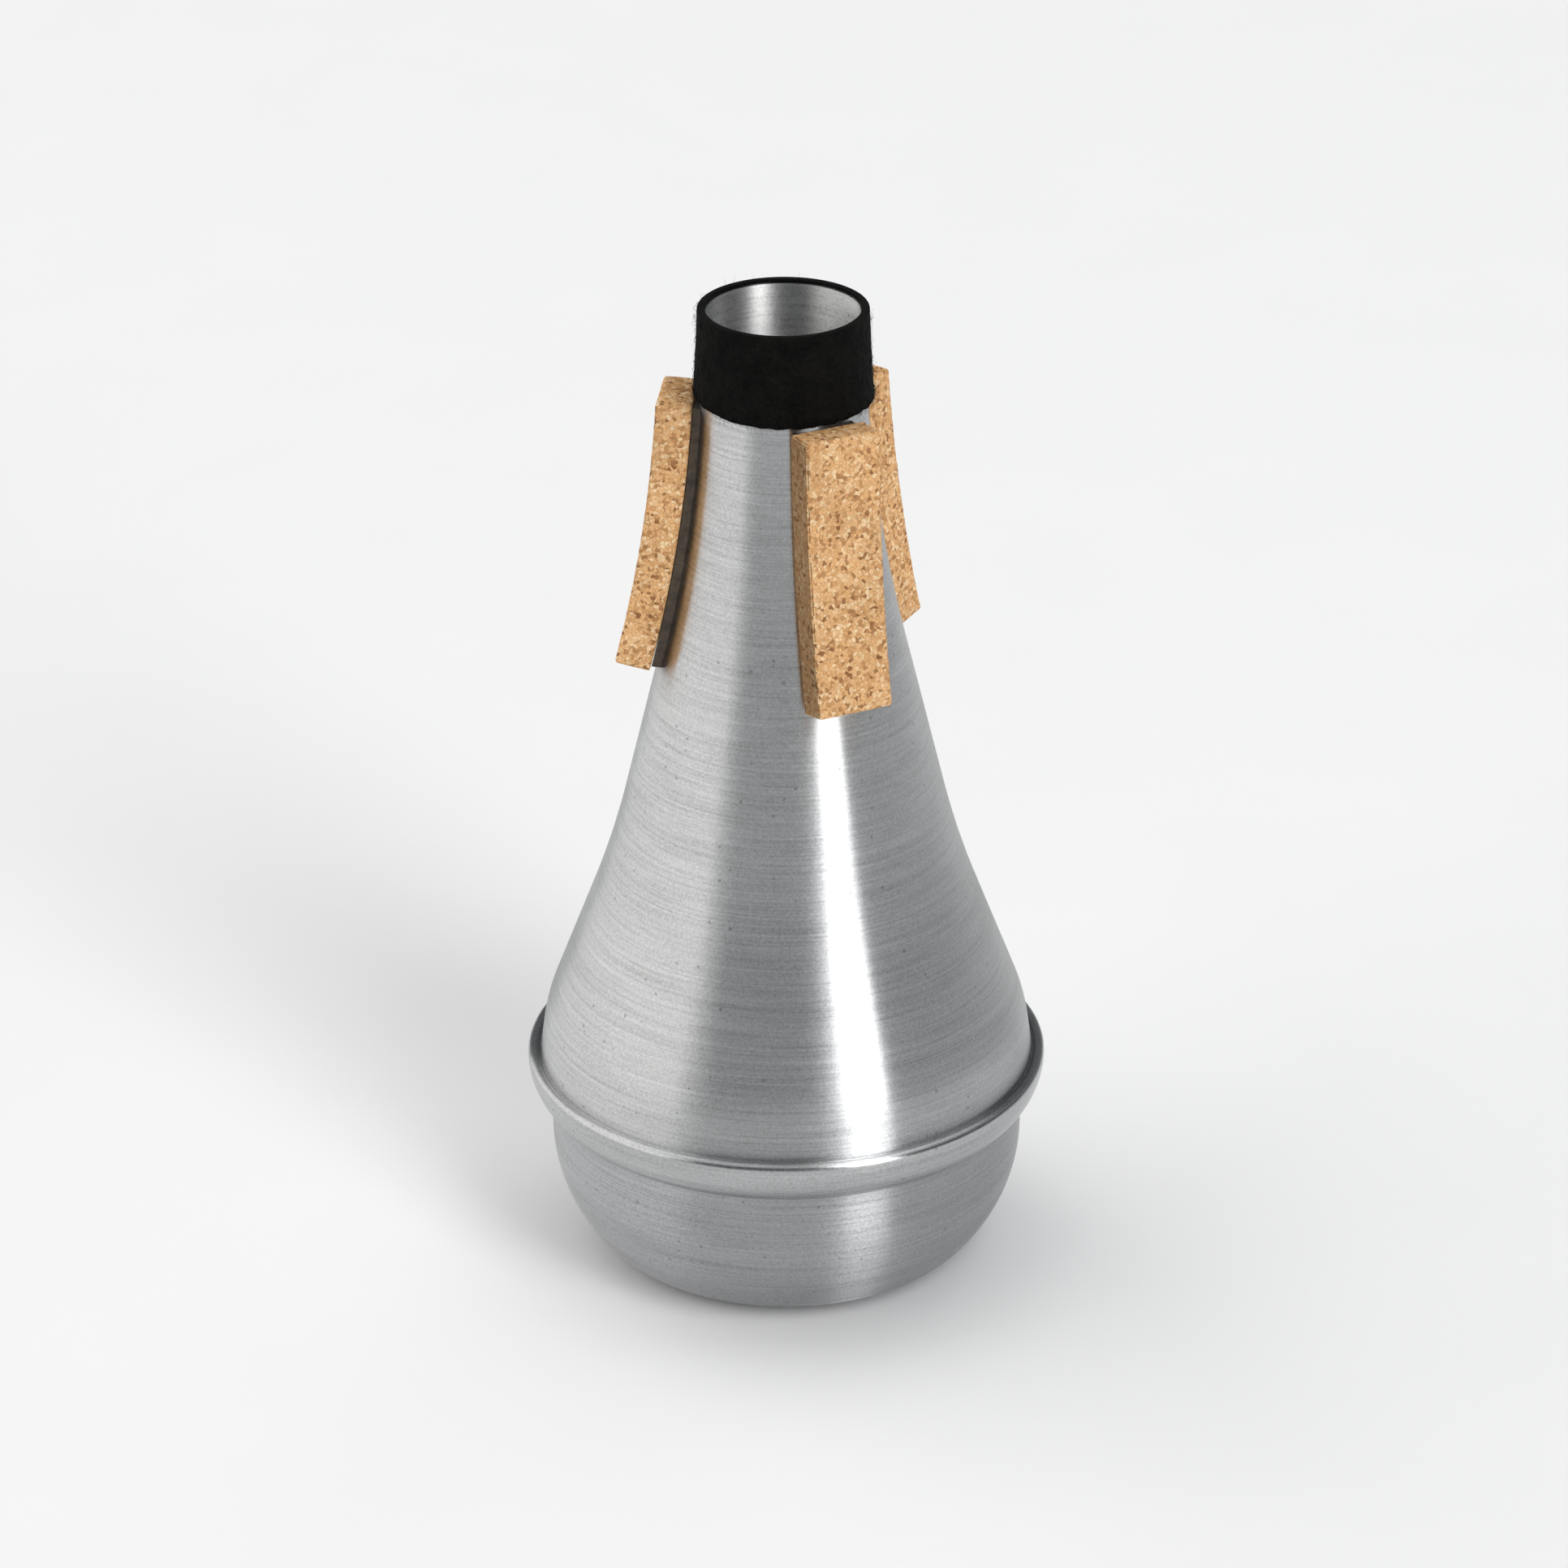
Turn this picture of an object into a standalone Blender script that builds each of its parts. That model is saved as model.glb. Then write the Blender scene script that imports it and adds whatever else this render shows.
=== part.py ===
"""Practice mute for a trumpet.

A spun aluminium cone with a domed end crimped into its rolled edge. Three cork strips
wedge it in the bell of the trumpet, and a felt collar covers the rim of its open neck.

Metres, +Z up. The origin is the middle of the flat on the domed end, where the mute stands.
"""
import math

import bmesh
import bpy
from mathutils import Vector

MM = 0.001

# Sheet metal and clearances
SHEET = 0.7 * MM              # wall of both spun shells
FIT = 0.3 * MM                # between the end cap and the rolled edge that grips it
BOND = 0.2 * MM               # on either side of cement, and inside the felt

# Rolled edge that joins the two shells
BEAD_RADIUS = 40.0 * MM       # widest point of the mute
BEAD_BELLY = 8.2 * MM         # arc from the widest point down to the cap
BEAD_FOLD = 0.2 * MM          # inside radius of the fold at the widest point
BEAD_SHELF = 0.25 * MM        # straight run between the fold and the groove
BEAD_SHELF_RISE = 45.0        # degrees that this run climbs outward
GROOVE_RADIUS = 0.15 * MM     # corner of the groove above the rolled edge

# Domed end cap, from its flat up to its rim inside the rolled edge
CAP_INSET = 3.6 * MM          # its straight wall stands this far inside the widest point
CAP_KNUCKLE = 9.4 * MM        # arc next to the flat
CAP_SIDE = 24.9 * MM          # arc between the knuckle and the straight wall
CAP_SIDE_SWEEP = 40.6         # degrees of that arc
CAP_WALL = 6.0 * MM           # straight wall that shows under the rolled edge
CAP_RIM_BEND = 1.0 * MM       # bend from the straight wall to the flared rim

# Cone, from the groove up to the open neck: the rise and half-angle of each straight run
BAND_RISE = 7.7 * MM
BAND_LEAN = 8.0
LOWER_CONE_RISE = 27.6 * MM
LOWER_CONE_LEAN = 21.05
UPPER_CONE_RISE = 58.4 * MM
UPPER_CONE_LEAN = 13.6
NECK_RISE = 27.6 * MM
NECK_LEAN = 0.4

# Arcs that blend those runs into one line
SHOULDER_BLEND = 28.0 * MM
WAIST_BLEND = 140.0 * MM
THROAT_BLEND = 215.0 * MM

# Felt collar
COLLAR_LENGTH = 14.0 * MM
COLLAR_ABOVE_RIM = 0.65 * MM  # its top stands this far over the metal rim
COLLAR_TOP = 0.4 * MM         # thickness at the rim
COLLAR_FOOT = 0.8 * MM        # thickness at its lower edge
COLLAR_LAP = 0.55 * MM        # how far the felt laps in over the rim
COLLAR_EDGE = 0.2 * MM        # rounding of its outer corners

# Cork strips, cut from flat sheet and cemented on by hand
STRIP_WIDTH = 12.0 * MM
STRIP_THICKNESS = 5.4 * MM
STRIP_HEIGHT = 42.0 * MM      # height of the glued face
STRIP_EDGE = 0.3 * MM         # worn edges
STRIP_TURNS = (26.3, 140.5, -95.4)    # degrees round the cone from the front (-Y), toward +X
STRIP_LEANS = (1.5, 1.9, -2.7)        # degrees that each leans out of line, top toward +X

# Cement between each strip and the cone
CEMENT_WIDTH = 8.0 * MM
CEMENT_THICKNESS = 0.25 * MM  # at the middle, where the cone comes nearest to the strip
CEMENT_MARGIN = 1.5 * MM      # bare cork at each end

# Facets
SIDES = 48                    # round each turned piece
CHORD = 0.05 * MM             # most that a chord stands off its arc
WIDEST_STEP = math.radians(30)
STATIONS = 7                  # cross-sections along a strip


# Outlines: lists of (radius, height, facing), where facing is the way the surface faces


def arc(centre, radius, start, end, side=1):
    """Outline points on an arc. Side is -1 where the surface faces the arc's centre."""
    step = WIDEST_STEP
    if radius > CHORD:
        step = min(step, 2 * math.acos(1 - CHORD / radius))
    count = max(2, math.ceil(abs(end - start) / step))
    points = []
    for i in range(count + 1):
        facing = start + (end - start) * i / count
        r = centre[0] + side * radius * math.cos(facing)
        z = centre[1] + side * radius * math.sin(facing)
        points.append((r, z, facing))
    return points


def blended(corners):
    """Outline of straight runs through (radius, height, blend), each inner corner rounded."""
    last = len(corners) - 1
    headings = [math.atan2(b[1] - a[1], b[0] - a[0]) for a, b in zip(corners, corners[1:])]
    runs = [math.dist(a[:2], b[:2]) for a, b in zip(corners, corners[1:])]
    points = [(corners[0][0], corners[0][1], headings[0] + math.pi / 2)]
    for i in range(1, last):
        r, z, blend = corners[i]
        turn = math.remainder(headings[i] - headings[i - 1], 2 * math.pi)
        # A blend takes at most half of a run that it shares with the next blend
        room_before = runs[i - 1] * (0.98 if i == 1 else 0.49)
        room_after = runs[i] * (0.98 if i == last - 1 else 0.49)
        cut = min(blend * math.tan(abs(turn) / 2), room_before, room_after)
        radius = cut / math.tan(abs(turn) / 2)
        side = -1 if turn > 0 else 1
        facing = headings[i - 1] + math.pi / 2
        start = (r - cut * math.cos(headings[i - 1]), z - cut * math.sin(headings[i - 1]))
        centre = (start[0] - side * radius * math.cos(facing),
                  start[1] - side * radius * math.sin(facing))
        points += arc(centre, radius, facing, facing + turn, side)
    points.append((corners[last][0], corners[last][1], headings[-1] + math.pi / 2))
    return points


def sheet_profile(outline):
    """Profile of sheet metal from its outer surface: up the inner side, down the outer."""
    outer = [(r, z) for r, z, facing in outline]
    inner = [(r - SHEET * math.cos(facing), z - SHEET * math.sin(facing))
             for r, z, facing in outline]
    return inner[::-1] + outer


# Solids


def finish(name, colour, roughness, metallic=0.0):
    """A material of one colour."""
    material = bpy.data.materials.new(name)
    material.use_nodes = True
    shader = material.node_tree.nodes["Principled BSDF"]
    shader.inputs["Base Color"].default_value = (*colour, 1.0)
    shader.inputs["Roughness"].default_value = roughness
    shader.inputs["Metallic"].default_value = metallic
    material.diffuse_color = (*colour, 1.0)
    return material


def add_object(name, mesh, material, parent):
    """Put a mesh in the scene."""
    piece = bpy.data.objects.new(name, mesh)
    piece.data.materials.append(material)
    piece.parent = parent
    bpy.context.collection.objects.link(piece)
    return piece


def turned(name, profile, material, parent, closed=True):
    """A solid turned round Z from a profile that runs down its outer side."""
    count = len(profile)
    edges = [(i, (i + 1) % count) for i in range(count if closed else count - 1)]
    mesh = bpy.data.meshes.new(name)
    mesh.from_pydata([(r, 0.0, z) for r, z in profile], edges, [])
    piece = add_object(name, mesh, material, parent)
    screw = piece.modifiers.new("Turning", "SCREW")
    screw.axis = "Z"
    screw.angle = 2 * math.pi
    screw.steps = SIDES
    screw.render_steps = SIDES
    screw.use_merge_vertices = True
    screw.merge_threshold = 0.00001
    screw.use_smooth_shade = True
    if not closed:
        # The profile ends on the axis, where the turn leaves a ring of points on one spot
        weld = piece.modifiers.new("Close on axis", "WELD")
        weld.merge_threshold = 0.00001
    return piece


def lofted(name, rings, material, parent):
    """A solid skinned over rings of equally many points, with a flat face at each end."""
    mesh = bpy.data.meshes.new(name)
    shape = bmesh.new()
    loops = [[shape.verts.new(point) for point in ring] for ring in rings]
    count = len(rings[0])
    for low, high in zip(loops, loops[1:]):
        for i in range(count):
            j = (i + 1) % count
            shape.faces.new((low[i], low[j], high[j], high[i]))
    shape.faces.new(loops[0][::-1])
    shape.faces.new(loops[-1])
    bmesh.ops.recalc_face_normals(shape, faces=shape.faces)
    shape.to_mesh(mesh)
    shape.free()
    return add_object(name, mesh, material, parent)


for old in list(bpy.data.objects):
    bpy.data.objects.remove(old)

mute = bpy.data.objects.new("mute", None)
bpy.context.collection.objects.link(mute)


# Domed end cap: a cup spun from sheet, with a rim flared out under the fold of the rolled edge

sweep = math.radians(CAP_SIDE_SWEEP)
cap_radius = BEAD_RADIUS - CAP_INSET
side_height = CAP_KNUCKLE + (CAP_SIDE - CAP_KNUCKLE) * math.sin(sweep)
side_centre = (cap_radius - CAP_SIDE, side_height)
knuckle_centre = (side_centre[0] + (CAP_SIDE - CAP_KNUCKLE) * math.cos(sweep), CAP_KNUCKLE)

# The rolled edge closes on the cap's wall where its inner side comes within the fit
lip_turn = math.acos((cap_radius + FIT - BEAD_RADIUS + BEAD_BELLY) / (BEAD_BELLY - SHEET))
widest_height = side_height + CAP_WALL + BEAD_BELLY * math.sin(lip_turn)
fold_radius = SHEET + BEAD_FOLD
fold_centre = (BEAD_RADIUS - fold_radius, widest_height)

# The shelf climbs outward from the groove to the fold
rise = math.radians(BEAD_SHELF_RISE)
band_lean = math.radians(BAND_LEAN)
groove_turn = rise + math.pi / 2 - band_lean
shelf_end = (fold_centre[0] - fold_radius * math.sin(rise),
             fold_centre[1] + fold_radius * math.cos(rise))
shelf_run = BEAD_SHELF + GROOVE_RADIUS * math.tan(groove_turn / 2)
groove = (shelf_end[0] - shelf_run * math.cos(rise), shelf_end[1] - shelf_run * math.sin(rise))

# Under the groove the sheet bulges down to here, and the cap's rim seats on it
groove_centre_height = groove[1] + GROOVE_RADIUS / math.cos(groove_turn / 2) * math.sin(
    (math.pi / 2 + band_lean + rise) / 2)
rim_underside = groove_centre_height - GROOVE_RADIUS - SHEET - FIT - SHEET

cap_outline = blended([
    (BEAD_RADIUS - SHEET - 2 * FIT, rim_underside, 0),
    (cap_radius, rim_underside, CAP_RIM_BEND),
    (cap_radius, side_height, 0),
])[:-1]
cap_outline += arc(side_centre, CAP_SIDE, 0, -sweep)
cap_outline += arc(knuckle_centre, CAP_KNUCKLE, -sweep, -math.pi / 2)[1:]
cap_outline.append((0.0, 0.0, -math.pi / 2))

spun_metal = finish("spun_aluminium", (0.72, 0.72, 0.71), 0.3, 1.0)
cap_metal = finish("end_cap_aluminium", (0.70, 0.70, 0.70), 0.3, 1.0)
turned("end_cap", sheet_profile(cap_outline), cap_metal, mute, closed=False)


# Cone: one spun shell from the open neck down to the rolled edge

shoulder = (groove[0] - BAND_RISE * math.tan(band_lean), groove[1] + BAND_RISE)
waist = (shoulder[0] - LOWER_CONE_RISE * math.tan(math.radians(LOWER_CONE_LEAN)),
         shoulder[1] + LOWER_CONE_RISE)
throat = (waist[0] - UPPER_CONE_RISE * math.tan(math.radians(UPPER_CONE_LEAN)),
          waist[1] + UPPER_CONE_RISE)
rim = (throat[0] - NECK_RISE * math.tan(math.radians(NECK_LEAN)), throat[1] + NECK_RISE)

cone_outline = blended([
    (*rim, 0),
    (*throat, THROAT_BLEND),
    (*waist, WAIST_BLEND),
    (*shoulder, SHOULDER_BLEND),
    (*groove, GROOVE_RADIUS),
    (*shelf_end, 0),
])[:-1]
cone_outline += arc(fold_centre, fold_radius, math.pi / 2 + rise, 0)
cone_outline += arc((BEAD_RADIUS - BEAD_BELLY, widest_height), BEAD_BELLY, 0, -lip_turn)[1:]

turned("cone_shell", sheet_profile(cone_outline), spun_metal, mute)


def cone_at(height):
    """Outside radius of the cone at a height above the shoulder, and its half-angle there."""
    for high, low in zip(cone_outline, cone_outline[1:]):
        if low[1] <= height <= high[1]:
            share = (high[1] - height) / (high[1] - low[1])
            radius = high[0] + share * (low[0] - high[0])
            return radius, high[2] + share * (low[2] - high[2])
    raise ValueError("height off the cone")


# Felt collar: a band round the neck that laps over the metal rim

collar_top = rim[1] + COLLAR_ABOVE_RIM
collar_foot = collar_top - COLLAR_LENGTH
foot_inside = cone_at(collar_foot)[0] + BOND
rim_inside = rim[0] + BOND
lap_radius = rim[0] - COLLAR_LAP
collar_outline = blended([
    (lap_radius, collar_top, 0),
    (rim_inside + COLLAR_TOP, collar_top, COLLAR_EDGE),
    (foot_inside + COLLAR_FOOT, collar_foot, COLLAR_EDGE),
    (foot_inside, collar_foot, 0),
])
collar_profile = [(r, z) for r, z, facing in collar_outline]
for share in (0.25, 0.5, 0.75):
    height = collar_foot + share * (rim[1] - collar_foot)
    collar_profile.append((cone_at(height)[0] + BOND, height))
collar_profile.append((rim_inside, rim[1] + BOND))
collar_profile.append((lap_radius, rim[1] + BOND))

turned("felt_collar", collar_profile, finish("black_felt", (0.012, 0.011, 0.012), 0.95), mute)


# Cork strips and their cement: bent along the cone, flat across, up against the collar

strip_top = collar_foot - FIT
strip_foot = strip_top - STRIP_HEIGHT
strip_back = BOND + CEMENT_THICKNESS + BOND
cork = finish("cork", (0.62, 0.40, 0.20), 0.85)
cement = finish("contact_cement", (0.74, 0.69, 0.56), 0.5)


def strip_sections(lean, low, high):
    """Where the cone passes under a strip that faces -Y: height, radius, half-angle, shift to +X."""
    sections = []
    for i in range(STATIONS):
        height = low + (high - low) * i / (STATIONS - 1)
        radius, facing = cone_at(height)
        shift = math.tan(math.radians(lean)) * (height - (strip_foot + strip_top) / 2)
        sections.append((height, radius, facing, shift))
    return sections


def stood_off(height, radius, facing, aside, stand):
    """The point a given distance out from the cone and to one side of the strip's middle."""
    return Vector((aside, -radius - stand * math.cos(facing), height + stand * math.sin(facing)))


def strip_rings(lean):
    """Rectangles square to the cone's surface."""
    rings = []
    for height, radius, facing, shift in strip_sections(lean, strip_foot, strip_top):
        left = shift - STRIP_WIDTH / 2
        right = shift + STRIP_WIDTH / 2
        front = strip_back + STRIP_THICKNESS
        rings.append([
            stood_off(height, radius, facing, left, strip_back),
            stood_off(height, radius, facing, right, strip_back),
            stood_off(height, radius, facing, right, front),
            stood_off(height, radius, facing, left, front),
        ])
    return rings


def cement_rings(lean):
    """Sections that are round against the cone and flat against the cork."""
    rings = []
    for height, radius, facing, shift in strip_sections(
            lean, strip_foot + CEMENT_MARGIN, strip_top - CEMENT_MARGIN):
        ring = []
        for place in (-0.5, -0.25, 0.0, 0.25, 0.5):
            aside = shift + place * CEMENT_WIDTH
            depth = math.sqrt((radius + BOND) ** 2 - aside ** 2)
            ring.append(Vector((aside, -depth, height)))
        for place in (0.5, -0.5):
            aside = shift + place * CEMENT_WIDTH
            ring.append(stood_off(height, radius, facing, aside, BOND + CEMENT_THICKNESS))
        rings.append(ring)
    return rings


for number, (turn, lean) in enumerate(zip(STRIP_TURNS, STRIP_LEANS), start=1):
    place = bpy.data.objects.new(f"strip_{number}_place", None)
    place.rotation_euler.z = math.radians(turn)
    place.parent = mute
    bpy.context.collection.objects.link(place)

    strip = lofted(f"cork_strip_{number}", strip_rings(lean), cork, place)
    worn = strip.modifiers.new("Worn edges", "BEVEL")
    worn.width = STRIP_EDGE
    worn.segments = 2
    worn.limit_method = "ANGLE"
    worn.angle_limit = math.radians(40)

    lofted(f"cement_{number}", cement_rings(lean), cement, place)

bpy.context.view_layer.update()
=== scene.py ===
"""Looks of the trumpet practice mute: spun metal, cork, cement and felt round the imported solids."""
import math
import random

import bmesh
import bpy
from mathutils import Matrix, Vector, noise


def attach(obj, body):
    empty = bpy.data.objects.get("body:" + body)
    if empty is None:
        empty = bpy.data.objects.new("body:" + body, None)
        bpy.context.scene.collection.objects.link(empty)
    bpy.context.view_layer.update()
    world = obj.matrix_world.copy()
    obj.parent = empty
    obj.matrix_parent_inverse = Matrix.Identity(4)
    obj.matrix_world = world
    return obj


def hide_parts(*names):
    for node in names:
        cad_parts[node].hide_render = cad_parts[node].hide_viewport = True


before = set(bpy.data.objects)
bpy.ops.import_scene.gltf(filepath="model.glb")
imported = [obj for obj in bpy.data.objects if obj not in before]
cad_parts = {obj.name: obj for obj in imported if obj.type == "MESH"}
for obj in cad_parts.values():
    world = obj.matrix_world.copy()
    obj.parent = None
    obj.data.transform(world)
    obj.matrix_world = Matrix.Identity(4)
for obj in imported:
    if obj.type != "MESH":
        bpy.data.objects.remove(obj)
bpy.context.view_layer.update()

MM = 0.001


# --- Cone shell ---
# The body of the mute: one sheet of aluminium spun over a former into a long cone with an open
# neck. Its foot is rolled outward and back under, which makes the bright bead that grips the cap.
# The fine lines that run round it are left by the spinning tool and the polishing cloth.

SHEET = 0.7 * MM                # thickness of the metal
FIT = 0.3 * MM                  # gap between two parts that are seated together

BEAD_RADIUS = 40.0 * MM
BEAD_BELLY = 8.2 * MM           # radius of the bead's round side
FOLD_RADIUS = 0.9 * MM          # where the sheet turns down at the widest point
SHELF = 0.25 * MM               # straight slope from the fold in to the groove
SHELF_RISE = math.radians(45.0)
GROOVE_RADIUS = 0.15 * MM

# The height of the cap's dome and wall sets how high the bead sits
CAP_RADIUS = 36.4 * MM
CAP_KNUCKLE = 9.4 * MM          # radius of the bend next to the flat
CAP_SIDE = 24.9 * MM            # radius of the dome's side
CAP_SWEEP = math.radians(40.6)  # how far that side turns in
CAP_WALL = 6.0 * MM

# Rise and lean of each straight run of the cone, from the groove up
BAND = (7.7 * MM, math.radians(8.0))
LOWER_CONE = (27.6 * MM, math.radians(21.05))
UPPER_CONE = (58.4 * MM, math.radians(13.6))
NECK = (27.6 * MM, math.radians(0.4))

# Radius of the soft bend between each two runs
SHOULDER_BLEND = 28.0 * MM
WAIST_BLEND = 140.0 * MM
THROAT_BLEND = 215.0 * MM

FINE_CHORD = 0.004 * MM         # how far a facet may stray from its arc
WIDEST_STEP = math.radians(12)  # the most that an arc turns in one facet
FEWEST_STEPS = 4
END_RUN = 0.98                  # share of an end run that a rounded corner may take up
INNER_RUN = 0.49                # the same for a run with a corner at both ends
FINE_SIDES = 288
ON_AXIS = 1e-7                  # points nearer the axis than this become one
SHARP_EDGE = math.radians(35)


def bend(centre, radius, start, end, side=1):
    """Points (radius, height, facing) round an arc of the metal's outline."""
    step = WIDEST_STEP
    if radius > FINE_CHORD:
        step = min(step, 2 * math.acos(1 - FINE_CHORD / radius))
    count = max(FEWEST_STEPS, math.ceil(abs(end - start) / step))
    points = []
    for i in range(count + 1):
        facing = start + (end - start) * i / count
        points.append((centre[0] + side * radius * math.cos(facing),
                       centre[1] + side * radius * math.sin(facing), facing))
    return points


def spun_line(corners):
    """Straight runs through (radius, height, blend), with each inner corner rounded."""
    last = len(corners) - 1
    headings = [math.atan2(b[1] - a[1], b[0] - a[0]) for a, b in zip(corners, corners[1:])]
    runs = [math.dist(a[:2], b[:2]) for a, b in zip(corners, corners[1:])]
    points = [(corners[0][0], corners[0][1], headings[0] + math.pi / 2)]
    for i in range(1, last):
        r, z, blend = corners[i]
        turn = math.remainder(headings[i] - headings[i - 1], 2 * math.pi)
        before = runs[i - 1] * (END_RUN if i == 1 else INNER_RUN)
        after = runs[i] * (END_RUN if i == last - 1 else INNER_RUN)
        cut = min(blend * math.tan(abs(turn) / 2), before, after)
        radius = cut / math.tan(abs(turn) / 2)
        side = -1 if turn > 0 else 1
        facing = headings[i - 1] + math.pi / 2
        start = (r - cut * math.cos(headings[i - 1]), z - cut * math.sin(headings[i - 1]))
        centre = (start[0] - side * radius * math.cos(facing),
                  start[1] - side * radius * math.sin(facing))
        points += bend(centre, radius, facing, facing + turn, side)
    points.append((corners[last][0], corners[last][1], headings[-1] + math.pi / 2))
    return points


def sheet_wall(outline):
    """Closed profile of the sheet: up its inner side, down its outer."""
    outer = [(r, z) for r, z, facing in outline]
    inner = [(r - SHEET * math.cos(facing), z - SHEET * math.sin(facing))
             for r, z, facing in outline]
    return inner[::-1] + outer


def made(name, shape, smooth=True):
    """Turn a finished shape into a piece of that name."""
    bmesh.ops.recalc_face_normals(shape, faces=shape.faces)
    mesh = bpy.data.meshes.new(name)
    shape.to_mesh(mesh)
    shape.free()
    if smooth:
        mesh.shade_smooth()
    piece = bpy.data.objects.new(name, mesh)
    bpy.context.collection.objects.link(piece)
    return piece


def spin(name, profile, closed=True):
    """Turn a profile round the mute's axis into a smooth piece."""
    shape = bmesh.new()
    columns = []
    on_axis = {}
    for s in range(FINE_SIDES):
        turn = 2 * math.pi * s / FINE_SIDES
        column = []
        for k, (r, z) in enumerate(profile):
            if r < ON_AXIS:
                if k not in on_axis:
                    on_axis[k] = shape.verts.new((0, 0, z))
                column.append(on_axis[k])
            else:
                column.append(shape.verts.new((r * math.cos(turn), r * math.sin(turn), z)))
        columns.append(column)
    last = len(profile) if closed else len(profile) - 1
    for s in range(FINE_SIDES):
        here, there = columns[s], columns[(s + 1) % FINE_SIDES]
        for k in range(last):
            j = (k + 1) % len(profile)
            corners = [here[k], here[j], there[j], there[k]]
            ring = [v for i, v in enumerate(corners) if v not in corners[:i]]
            if len(ring) > 2:
                shape.faces.new(ring)
    piece = made(name, shape)
    piece.data.set_sharp_from_angle(angle=SHARP_EDGE)
    return piece


def tinted(colour, share):
    """A colour made darker or brighter."""
    return tuple(min(1.0, share * c) for c in colour)


class Nodes:
    """A new material's nodes, added and joined in one call each."""

    def __init__(self, name):
        self.material = bpy.data.materials.new(name)
        self.material.use_nodes = True
        self.tree = self.material.node_tree
        self.shader = self.tree.nodes["Principled BSDF"]

    def add(self, kind, settings=None, **inputs):
        """Add a node. An input goes by its name, or by its number, as i0 or i6."""
        node = self.tree.nodes.new(kind)
        for key, value in (settings or {}).items():
            setattr(node, key, value)
        for key, value in inputs.items():
            numbered = key[0] == "i" and key[1:].isdigit()
            self.feed(node.inputs[int(key[1:]) if numbered else key], value)
        return node

    def feed(self, socket, value):
        """Join another node's output to a socket, or write a value in it."""
        if isinstance(value, bpy.types.NodeSocket):
            self.tree.links.new(value, socket)
        else:
            socket.default_value = value

    def place(self):
        """Where a point is on the piece, in metres."""
        return self.add("ShaderNodeTexCoord").outputs["Object"]

    def mottle(self, place, **inputs):
        """Cloudy noise. Its Scale is in patches per metre."""
        return self.add("ShaderNodeTexNoise", Vector=place, **inputs).outputs[0]

    def red(self, colour):
        """One channel of a cell's random colour, as a number that is the cell's own."""
        return self.add("ShaderNodeSeparateColor", Color=colour).outputs[0]

    def maths(self, operation, a, b=0.0):
        """One sum on two values."""
        return self.add("ShaderNodeMath", {"operation": operation}, i0=a, i1=b).outputs[0]

    def total(self, *shares):
        """Add up values, each times its weight."""
        total, *rest = [self.maths("MULTIPLY", value, weight) for value, weight in shares]
        for value in rest:
            total = self.maths("ADD", total, value)
        return total

    def ramp(self, factor, stops):
        """Colours that follow a value."""
        node = self.add("ShaderNodeValToRGB", Fac=factor)
        while len(node.color_ramp.elements) < len(stops):
            node.color_ramp.elements.new(0.5)
        for element, (place, colour) in zip(node.color_ramp.elements, stops):
            element.position = place
            element.color = (*colour, 1.0)
        return node.outputs["Color"]

    def mix(self, factor, under, over, blend="MIX"):
        """Lay one colour over another."""
        return self.add("ShaderNodeMix", {"data_type": "RGBA", "blend_type": blend},
                        i0=factor, i6=under, i7=over).outputs[2]

    def shade(self, sockets):
        """Set or join the shader's own sockets."""
        for name, value in sockets.items():
            self.feed(self.shader.inputs[name], value)

    def bump(self, height, depth, strength):
        """Fine relief in the surface."""
        relief = self.add("ShaderNodeBump", Strength=strength, Distance=depth, Height=height)
        self.feed(self.shader.inputs["Normal"], relief.outputs[0])


AXIS_CLEARANCE = 0.5 * MM       # keeps the lines even at the middle of the cap
BAND_PITCH = 7                  # broad bands are this many lines apart
PIT_REACH = 0.17                # radius of a pit, as a share of its cell
PITLESS = 0.9                   # share of the cells that have no pit
PIT_TONE = 0.45
DULL_TONE = 0.66
BRIGHT_TONE = 1.30
TOOL_MARK_DEPTH = 0.012 * MM
ACROSS_THE_LINES = 0.25         # a quarter turn, so that a light is drawn out up the metal


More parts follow.
